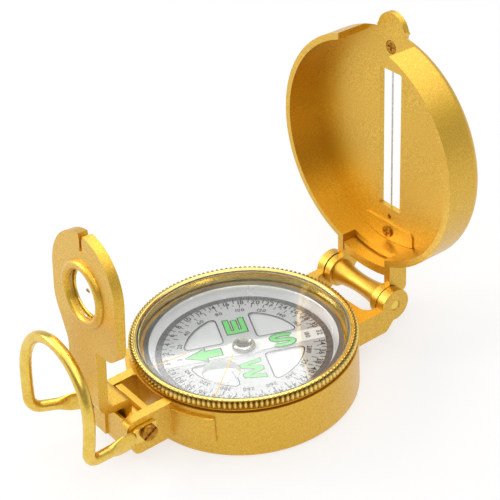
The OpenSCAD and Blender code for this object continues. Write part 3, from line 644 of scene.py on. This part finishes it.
def letter_e(r0, w, h, s):
    """Outline from inner radius, width, height and stroke."""
    at = letter_frame(90, r0, h)
    m, short = (h - s) / 2, w - 0.6
    pts = [(0, 0), (w, 0), (w, s), (s, s), (s, m), (short, m), (short, m + s), (s, m + s),
           (s, h - s), (w, h - s), (w, h), (0, h)]
    return [at(u, v) for u, v in pts]


def letter_w(r0, w, h, s):
    """Outline from inner radius, width, height and stroke."""
    at = letter_frame(270, r0, h)
    q, k = w / 4, s * 0.55
    pts = [(0, h), (q - k, 0), (q + k, 0), (2 * q, h * 0.66), (3 * q - k, 0), (3 * q + k, 0),
           (w, h), (w - s, h), (3 * q, h * 0.30), (2 * q + k, h), (2 * q - k, h),
           (q, h * 0.30), (s, h)]
    return [at(u, v) for u, v in pts]


def letter_s_line(r0, w, h, s):
    """Middle line of the stroke, from inner radius, width, height and stroke."""
    at = letter_frame(180, r0, h)
    rx, ry = (w - s) / 2, (h - s) / 4
    cx, top, low = w / 2, h - s / 2 - ry, s / 2 + ry
    pts = [(cx + rx * math.cos(a), top + ry * math.sin(a)) for a in
           (math.radians(20 + 8 * i) for i in range(32))]
    pts += [(cx + rx * math.cos(a), low + ry * math.sin(a)) for a in
            (math.radians(90 - 8 * i) for i in range(32))]
    return [at(u, v) for u, v in pts]


# Windows of the card: outer radius, distance from both axes, and corner radius
WINDOW_R, WINDOW_X, WINDOW_Y, WINDOW_C = 14.05, 3.25, 4.05, 1.0


def window_line(sx, sy):
    """Outline of one window; sx and sy are the signs of its quarter."""
    r, c = WINDOW_R, WINDOW_C
    far, ax, ay = r - c, WINDOW_X + c, WINDOW_Y + c
    rx, ry = math.sqrt(far * far - ay * ay), math.sqrt(far * far - ax * ax)
    hi, lo = math.atan2(ry, ax), math.atan2(ay, rx)
    pts = []
    for x, y, a0, a1 in ((ax, ay, 1.5 * math.pi, math.pi), (ax, ry, math.pi, hi)):
        pts += [(x + c * math.cos(a0 + (a1 - a0) * i / 8), y + c * math.sin(a0 + (a1 - a0) * i / 8))
                for i in range(9)]
    pts += [(r * math.cos(hi + (lo - hi) * i / 24), r * math.sin(hi + (lo - hi) * i / 24))
            for i in range(1, 24)]
    pts += [(rx + c * math.cos(a), ay + c * math.sin(a)) for a in
            (lo - (lo + math.pi / 2) * i / 8 for i in range(9))]
    return [Vector((sx * x, sy * y)) for x, y in pts]


def grown(loop, by):
    """Outline moved outwards."""
    n = len(loop)
    area = sum(loop[i].x * loop[(i + 1) % n].y - loop[(i + 1) % n].x * loop[i].y
               for i in range(n))
    turn = 1 if area > 0 else -1
    out = []
    for i, p in enumerate(loop):
        a, b = (p - loop[i - 1]).normalized(), (loop[(i + 1) % n] - p).normalized()
        na, nb = Vector((a.y, -a.x)) * turn, Vector((b.y, -b.x)) * turn
        m = na + nb
        m = m.normalized() if m.length > 0.1 else na
        out.append(p + m * (by / max(0.35, m.dot(na))))
    return out


# Radius and thickness in mm of the card and of the grey sheet under it
CARD_R, CARD_T = 20.8, 0.3
BACK_IN, BACK_OUT, BACK_T, BACK_GAP = 1.9, 20.4, 0.08, 0.02
# Height in mm of the printed face, a little below the node's, and of the print over it
PRINT_DROP = 0.3
PRINT_Z = CARD_TOP - PRINT_DROP
ON_BAND, ON_LINE, ON_TICK, ON_TOP = 0.02, 0.03, 0.04, 0.05
ON_BAR, BAR_INK, BAR_PAINT = 0.26, 0.275, 0.29
# Radii and heights of the outer and inner figures
MIL_R, MIL_HIGH, BAR_MIL_HIGH = 18.26, 1.45, 1.3
DEGREE_R, BAR_DEGREE_R, DEGREE_HIGH = 15.18, 15.3, 1.15
LETTER_HIGH = 4.9


def scales():
    """Outer scale of 6400 mils, inner scale of 360 degrees, and their figures."""
    dial_piece("dial_band", [band(19.25, 20.75)], PRINT_Z + ON_BAND, GREY_INK)
    fine = [tick(360 * i / 320, 19.35, 20.7, 0.16) for i in range(320) if i % 5]
    fine += [tick(360 * i / 64, 18.05 if i % 2 else 18.95, 20.7, 0.24) for i in range(64)]
    fine += [band(19.2, 19.3)]
    dial_piece("mil_ticks", fine, PRINT_Z + ON_TICK, INK)
    inner = [tick(5 * i, 16.9 if i % 2 else 16.2, 17.45, 0.22) for i in range(72)]
    dial_piece("degree_ticks", inner, PRINT_Z + ON_LINE, INK)
    figures = []
    for m in range(2, 65, 2):
        if m not in (32, 64):
            figures += number(str(m), m * 5.625, MIL_R, MIL_HIGH)
    for d in range(20, 360, 20):
        if d != 180:
            figures += number(str(d), d, DEGREE_R, DEGREE_HIGH)
    dial_piece("dial_figures", figures, PRINT_Z + ON_TOP, INK)


def bar_and_arrow():
    """White bar from north to south, its figures and the north arrow."""
    half = [(2.05, -19.1), (2.05, -3.6), (2.5, -3.0), (2.5, 3.0), (2.05, 3.6), (2.05, 19.1)]
    bar = [Vector(p) for p in [(-2.05, -19.1)] + half]
    bar += [Vector((-x, y)) for x, y in reversed(half[1:])]
    dial_piece("north_bar", [filled([bar])], PRINT_Z + ON_BAR, WHITE, thick=0.22)
    on_bar = number("64", 0, MIL_R, BAR_MIL_HIGH) + number("0", 0, BAR_DEGREE_R, DEGREE_HIGH)
    on_bar += number("32", 180, MIL_R, BAR_MIL_HIGH)
    on_bar += number("180", 180, BAR_DEGREE_R, DEGREE_HIGH)
    dial_piece("bar_figures", on_bar, PRINT_Z + BAR_INK, INK)
    arrow = [Vector(p) for p in ((0, -13.8), (2.3, -9.1), (1.3, -9.1), (1.3, -5.4), (-1.3, -5.4),
                                 (-1.3, -9.1), (-2.3, -9.1))]
    dial_piece("arrow_edge", [filled([grown(arrow, 0.24)])], PRINT_Z + BAR_INK, INK)
    dial_piece("arrow", [filled([arrow])], PRINT_Z + BAR_PAINT, GREEN)


def letters():
    """Green letters with dark edges; the S lies on the bar."""
    e = letter_e(6.15, 5.7, LETTER_HIGH, 1.15)
    w = letter_w(4.75, 7.1, LETTER_HIGH, 1.2)
    s = letter_s_line(6.4, 5.8, LETTER_HIGH, 1.1)
    dial_piece("letter_edges", [filled([grown(e, 0.24)]), filled([grown(w, 0.2)])],
               PRINT_Z + ON_LINE, INK)
    dial_piece("letter_s_edge", [ribbon(s, 0.78)], PRINT_Z + BAR_INK, INK)
    dial_piece("letters", [filled([e]), filled([w])], PRINT_Z + ON_TOP, GREEN)
    dial_piece("letter_s", [ribbon(s, 0.55)], PRINT_Z + BAR_PAINT, GREEN)


def print_dial():
    windows = [window_line(sx, sy) for sx in (-1, 1) for sy in (-1, 1)]
    card = dial_piece("printed_card", [filled([circle(CARD_R)] + windows)], PRINT_Z, CARD,
                      thick=CARD_T)
    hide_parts("dial_card")
    dial_piece("card_back", [band(BACK_IN, BACK_OUT)], PRINT_Z - CARD_T - BACK_GAP, PANE,
               thick=BACK_T)
    scales()
    edges = [ribbon(line, 0.13, closed=True) for line in windows]
    dial_piece("window_outlines", edges, PRINT_Z + ON_LINE, INK)
    bar_and_arrow()
    letters()


print_dial()

# Painted lines under the glass: angle from the front and inner radius of each
INDEX_LINES = ((-7.3, 14.5), (38, 8.4))
INDEX_R, INDEX_HALF, INDEX_T = 23.3, 0.13, 0.04


def index_lines():
    z = (BEZEL_TOP - 0.7) * MM
    verts, faces = [], []
    for angle, inner in INDEX_LINES:
        a, k = math.radians(angle), len(verts)
        out = Vector((math.sin(a), -math.cos(a)))
        side = Vector((math.cos(a), math.sin(a))) * INDEX_HALF
        ends = [out * INDEX_R - side, out * INDEX_R + side, out * inner + side,
                out * inner - side]
        for high in (z, z + INDEX_T * MM):
            verts += [(p.x * MM, p.y * MM, high) for p in ends]
        faces += [[k + 3, k + 2, k + 1, k], [k + 4, k + 5, k + 6, k + 7]]
        faces += [[k + i, k + (i + 1) % 4, k + 4 + (i + 1) % 4, k + 4 + i] for i in range(4)]
    mesh = bpy.data.meshes.new("index_strokes")
    mesh.from_pydata(verts, [], faces)
    mesh.materials.append(AMBER)
    ob = bpy.data.objects.new("index_strokes", mesh)
    scene.collection.objects.link(ob)
    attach(ob, "bezel_body")
    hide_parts("index_lines")


index_lines()

# The floor and the light
SIDE = 3.0
FLOOR_DROP = 0.02 * MM
FLOOR_GREY = 0.42
FLOOR_GLOW = {"Is Glossy Ray": 0.60, "Is Camera Ray": 0.66, "Is Transmission Ray": 0.66}


def stage_floor():
    """A pale floor that keeps the shadow; its glow is for the camera, mirrors and glass only."""
    mesh = bpy.data.meshes.new("floor")
    corners = [(-SIDE, -SIDE, 0), (SIDE, -SIDE, 0), (SIDE, SIDE, 0), (-SIDE, SIDE, 0)]
    mesh.from_pydata(corners, [], [(0, 1, 2, 3)])
    floor = bpy.data.objects.new("floor", mesh)
    floor.location.z = -FLOOR_DROP
    scene.collection.objects.link(floor)
    white = bpy.data.materials.new("floor_white")
    white.use_nodes = True
    t = Nodes(white.node_tree)
    path = t.add("ShaderNodeLightPath").outputs
    first, *rest = [t.maths("MULTIPLY", path[ray], glow) for ray, glow in FLOOR_GLOW.items()]
    for level in rest:
        first = t.maths("MAXIMUM", first, level)
    diffuse = t.add("ShaderNodeBsdfDiffuse", Color=FLOOR_GREY).outputs[0]
    glow = t.add("ShaderNodeEmission", Strength=first).outputs[0]
    both = t.fill(t.add("ShaderNodeAddShader"), (diffuse, glow)).outputs[0]
    t.fill(t.add("ShaderNodeOutputMaterial"), (both,))
    mesh.materials.append(white)


# Levels by the sine of the elevation or by the cosine from a direction
UP = (0, 0, 1)
CEILING = [(0.0, 0.42), (0.597, 0.22), (0.610, 0.95), (1.0, 1.0)]
CORNER_WAY, CORNER = (0.76, -0.60, 0.25), [(0.10, 1.0), (0.80, 0.55)]
PANEL_WAY, PANEL = (-0.622, 0.427, 0.656), [(0.960, 0.0), (0.975, 1.0)]
PANEL_RISE = [(0.600, 0.0), (0.609, 0.75)]
MIRROR_LEVEL, DIFFUSE_LEVEL, CAMERA_LEVEL = 1.8, 0.50, 1.0


def studio_world():
    """Mirrors see a dim band behind the object, a bright ceiling with a panel and a dim corner."""
    world = bpy.data.worlds.new("studio")
    scene.world = world
    world.use_nodes = True
    t = Nodes(world.node_tree)
    path = t.add("ShaderNodeLightPath").outputs
    where = t.add("ShaderNodeTexCoord").outputs["Generated"]

    def along(axis, stops):
        return t.ramp(t.vector_maths("DOT_PRODUCT", where, Vector(axis).normalized())["Value"],
                      stops)

    room = t.mix(1.0, along(UP, CEILING), along(CORNER_WAY, CORNER), "MULTIPLY")
    room = t.mix(1.0, room, MIRROR_LEVEL, "MULTIPLY")
    panel = t.mix(1.0, along(PANEL_WAY, PANEL), along(UP, PANEL_RISE), "MULTIPLY")
    room = t.mix(1.0, room, panel, "ADD")
    mirror = t.maths("MAXIMUM", path["Is Glossy Ray"], path["Is Transmission Ray"])
    light = t.mix(mirror, DIFFUSE_LEVEL, room)
    seen = t.mix(path["Is Camera Ray"], light, CAMERA_LEVEL)
    back = t.add("ShaderNodeBackground", Color=seen).outputs[0]
    t.fill(t.add("ShaderNodeOutputWorld"), (back,))


# Softboxes: place, height of the aim over the origin, side in metres, and power in watts
LAMPS = {
    "key": ((0.38, -0.2, 0.62), 0.02, 0.4, 0.8),
    "top": ((-0.1, 0.1, 0.8), 0.02, 0.5, 0.9),
    "side": ((-0.5, -0.42, 0.36), 0.03, 0.35, 1.8),
}


def softbox(name, at, aim, side, watts):
    data = bpy.data.lights.new(name, "AREA")
    data.shape = "RECTANGLE"
    data.size, data.size_y = side, side
    data.energy = watts
    lamp = bpy.data.objects.new(name, data)
    lamp.location = at
    lamp.rotation_mode = "QUATERNION"
    lamp.rotation_quaternion = (Vector(at) - Vector((0, 0, aim))).to_track_quat("Z", "Y")
    scene.collection.objects.link(lamp)


stage_floor()
studio_world()
for name, lamp in LAMPS.items():
    softbox(name, *lamp)
